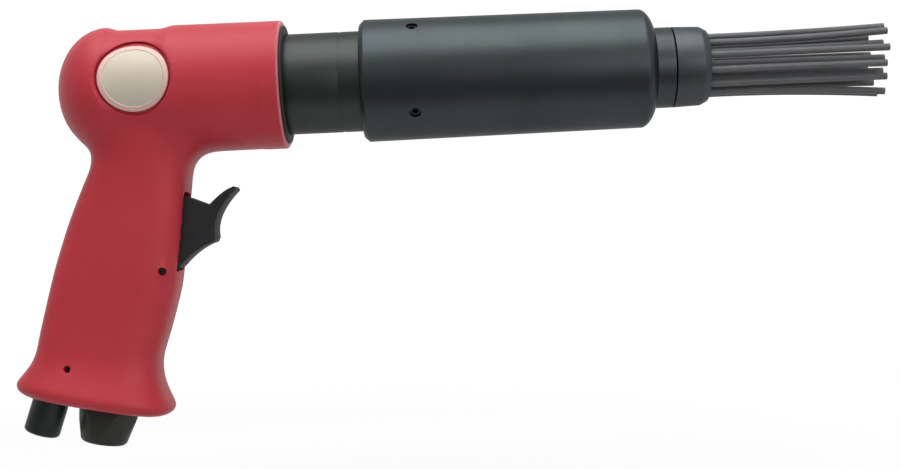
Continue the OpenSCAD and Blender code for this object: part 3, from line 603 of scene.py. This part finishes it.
make_piece(rounded("trigger", 0.9), "trigger_lever", [trigger_nylon], "trigger", "trigger")
make_piece(rounded("inlet_bush", 0.5), "inlet_hex", [inlet_black], "handle",
           "inlet_bush")
make_piece(rounded("regulator_knob", 0.3), "regulator_stub", [regulator_black], "regulator",
           "regulator_knob")

# %% [markdown]
# ## Springs and the inlet's thread
# A spring is a round section that turns about an axis and moves along it, which is what spin does when it is
# given a step along the axis. Both springs have a tight turn at each end and open turns between. The same
# helper, with a three-cornered section that points inwards, lays the ridge of a pipe thread in the inlet.

# %% Winding helper
def wound(radius, wire, turns, sides=12, steps=36):
    bm = bmesh.new()
    inwards = Matrix.Rotation(math.radians(-90), 4, "X")
    bmesh.ops.create_circle(bm, segments=sides, radius=wire,
                            matrix=Matrix.Translation((wire, 0, radius)) @ inwards)
    ring = bm.verts[:] + bm.edges[:]
    for count, pitch in turns:
        ring = bmesh.ops.spin(bm, geom=ring, axis=(1, 0, 0), angle=2 * math.pi * count, steps=steps * count,
                              dvec=(pitch / steps, 0, 0))["geom_last"]
    bmesh.ops.holes_fill(bm, edges=[e for e in bm.edges if e.is_boundary])
    bmesh.ops.recalc_face_normals(bm, faces=bm.faces)
    return bm


def open_spring(length, outer_r, wire, count, end_gap):
    tight = 2 * wire + end_gap
    loose = (length - 2 * wire - 2 * tight) / (count - 2)
    return wound(outer_r - wire, wire, ((1, tight), (count - 2, loose), (1, tight)))


print("winding helpers ready")

# %% Return spring, which the carrier presses against the front of the housing
low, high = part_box("return_spring")
length = high.x - low.x
bm = open_spring(length, (high.z - low.z) / 2, wire=1.4 * MM, count=9, end_gap=0.6 * MM)
bmesh.ops.transform(bm, matrix=Matrix.Translation((low.x, 0, 0)) @ ON_AXIS, verts=bm.verts)
piece = make_piece(bm, "return_coil", [spring_wire], "handle", "return_spring")
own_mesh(piece)

# %% Throttle spring, which the trigger's stem pushes back into the grip
low, high = grip_box("throttle_spring")
length = high.x - low.x
bm = open_spring(length, (high.z - low.z) / 2, wire=0.45 * MM, count=6, end_gap=0.45 * MM)
place = IN_GRIP @ Matrix.Translation((low.x, 0, (low.z + high.z) / 2))
bmesh.ops.transform(bm, matrix=place, verts=bm.verts)
piece = make_piece(bm, "throttle_coil", [spring_wire], "handle", "throttle_spring")
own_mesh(piece)

# %% Inlet thread
inlet = next(m for m in frame["record"]["mounts"] if m["name"] == "air_inlet")["dims"]
THREAD_PITCH, THREAD_TURNS, THREAD_SIZE, THREAD_SUNK = 1.34 * MM, 9, 0.6 * MM, 0.2 * MM
low, high = grip_box("inlet_bush")
thread_r = inlet["r_mm"] * MM - THREAD_SIZE / 2 + THREAD_SUNK
bm = wound(thread_r, THREAD_SIZE, ((THREAD_TURNS, THREAD_PITCH),), sides=3)
place = IN_GRIP @ Matrix.Translation(((low.x + high.x) / 2, 0, low.z + THREAD_SIZE)) @ Matrix.Rotation(
    math.radians(-90), 4, "Y")
bmesh.ops.transform(bm, matrix=place, verts=bm.verts)
make_piece(bm, "inlet_thread", [inlet_black], "handle", hard_angle=20)

# %% [markdown]
# ## Finishes for the CAD parts that stay
# The remaining parts have the right shape already. Each takes the material of its slot in the record.

# %% Materials for the CAD nodes
SLOT_MATERIAL = {"blackened_steel": housing_black, "black_rubber": seal_rubber, "bright_steel": ground_steel,
                 "black_fasteners": screw_black, "black_plastic": trigger_nylon, "brass": turned_brass,
                 "blackened_fittings": regulator_black, "needle_steel": needle_wire,
                 "red_casting": red_enamel, "badge": badge_field}
for row in frame["record"]["subparts"]:
    mesh = nodes[row["node"]].data
    mesh.materials.clear()
    mesh.materials.append(SLOT_MATERIAL[row["material_slot"]])
print("CAD nodes finished:", len(nodes))

# %% [markdown]
# ## Studio
# The tool hangs in front of a white sweep, as in a catalogue picture: a floor well below it and a wall behind
# it. The sweep looks white to the camera and in reflections. Near the tool a quarter of the floor stays plain
# paint, so that it keeps the shadow, and further off nearly all of it glows.

# %% Floor and wall
def seen_as_background(tree):
    ray = add(tree, "LightPath", {})
    seen = add(tree, "Math", {0: ray.outputs["Is Camera Ray"], 1: ray.outputs["Is Glossy Ray"]},
               operation="MAXIMUM")
    seen = add(tree, "Math", {0: seen.outputs[0], 1: ray.outputs["Is Transmission Ray"]}, operation="MAXIMUM")
    return seen.outputs[0]


sweep_white = bpy.data.materials.new("matt_white_sweep")
sweep_white.use_nodes = True
tree = sweep_white.node_tree
shader = feed(tree, tree.nodes["Principled BSDF"], {"Base Color": linear("#B8B8B8"), "Roughness": 0.9})
reach = add(tree, "VectorMath", {0: add(tree, "TexCoord", {}).outputs["Object"]}, operation="LENGTH")
share = add(tree, "MapRange", {"Value": reach.outputs["Value"], "From Min": 0.35, "From Max": 0.9,
                               "To Min": 0.75, "To Max": 0.92})
lit = add(tree, "Math", {0: seen_as_background(tree), 1: share.outputs["Result"]}, operation="MULTIPLY")
glow = add(tree, "Emission", {"Color": (1, 1, 1, 1), "Strength": 1.14})
sweep = add(tree, "MixShader", {"Fac": lit.outputs[0], 1: shader.outputs["BSDF"],
                                2: glow.outputs["Emission"]})
feed(tree, tree.nodes["Material Output"], {"Surface": sweep.outputs["Shader"]})
FLOOR_Z = -0.125
WALL_Y = 1.4
STAGE_REACH = 3


def stage_plane(name, corner_a, corner_b, material):
    bm = bmesh.new()
    a, b = Vector(corner_a), Vector(corner_b)
    points = [(a.x, a.y, a.z), (b.x, a.y, a.z), (b.x, b.y, b.z), (a.x, b.y, b.z)]
    bm.faces.new([bm.verts.new(p) for p in points])
    plane = as_object(name, bm)
    plane.data.materials.append(material)
    return plane


stage_plane("floor", (-STAGE_REACH, -STAGE_REACH, FLOOR_Z), (STAGE_REACH, WALL_Y, FLOOR_Z), sweep_white)
stage_plane("wall", (-STAGE_REACH, WALL_Y, FLOOR_Z), (STAGE_REACH, WALL_Y, STAGE_REACH), sweep_white)
print("sweep at", FLOOR_Z)

# %% [markdown]
# ## Cards, lamps and world
# Round steel in an all-white room looks flat, so photographers lay dark cards in front of it. Here a grey
# card on the floor and one behind the camera, which only reflections see, give the dark band below the middle
# of the steel. A large soft lamp overhead gives the broad highlight on the upper third of the barrel, and two
# weak ones fill the side that the camera sees. The world looks white too, but lights the tool only dimly.

# %% Grey cards for the steel
card_grey = bpy.data.materials.new("grey_card")
card_grey.use_nodes = True
tree = card_grey.node_tree
dim = add(tree, "Emission", {"Color": (1, 1, 1, 1), "Strength": 0.3})
feed(tree, tree.nodes["Material Output"], {"Surface": dim.outputs["Emission"]})
CARD_FROM, CARD_TO, CARD_TOP, CARD_Z = -0.15, -2.2, 1.6, FLOOR_Z + 0.001
floor_card = stage_plane("floor_card", (-STAGE_REACH, CARD_FROM, CARD_Z), (STAGE_REACH, CARD_TO, CARD_Z),
                         card_grey)
front_card = stage_plane("front_card", (-STAGE_REACH, CARD_TO, FLOOR_Z), (STAGE_REACH, CARD_TO, CARD_TOP),
                         card_grey)
for card in (floor_card, front_card):
    card.visible_camera = card.visible_diffuse = card.visible_shadow = False
print("cards from", CARD_FROM, "to", CARD_TO)

# %% Lamps and world
def soft_lamp(name, place, aim, width, height, watts):
    data = bpy.data.lights.new(name, "AREA")
    data.shape = "RECTANGLE"
    data.size, data.size_y, data.energy = width, height, watts
    lamp = bpy.data.objects.new(name, data)
    bpy.context.scene.collection.objects.link(lamp)
    turn = (Vector(aim) - Vector(place)).to_track_quat("-Z", "Y").to_matrix().to_4x4()
    lamp.matrix_world = Matrix.Translation(place) @ turn


soft_lamp("key_above", (0.12, -0.28, 1.1), (0.12, 0, 0.03), 1.5, 1.15, 18.6)
soft_lamp("fill_left", (-0.4, -1.1, 0.5), (0.08, 0, 0), 0.9, 0.6, 1.1)
soft_lamp("fill_right", (0.75, -1.0, 0.2), (0.15, 0, 0.03), 1.0, 0.6, 4.4)
world = bpy.data.worlds.new("studio")
bpy.context.scene.world = world
world.use_nodes = True
tree = world.node_tree
level = add(tree, "MapRange", {"Value": seen_as_background(tree), "To Min": 0.28, "To Max": 1.0})
feed(tree, tree.nodes["Background"], {"Color": (1, 1, 1, 1), "Strength": level.outputs["Result"]})
bpy.context.scene.view_settings.view_transform = "Standard"
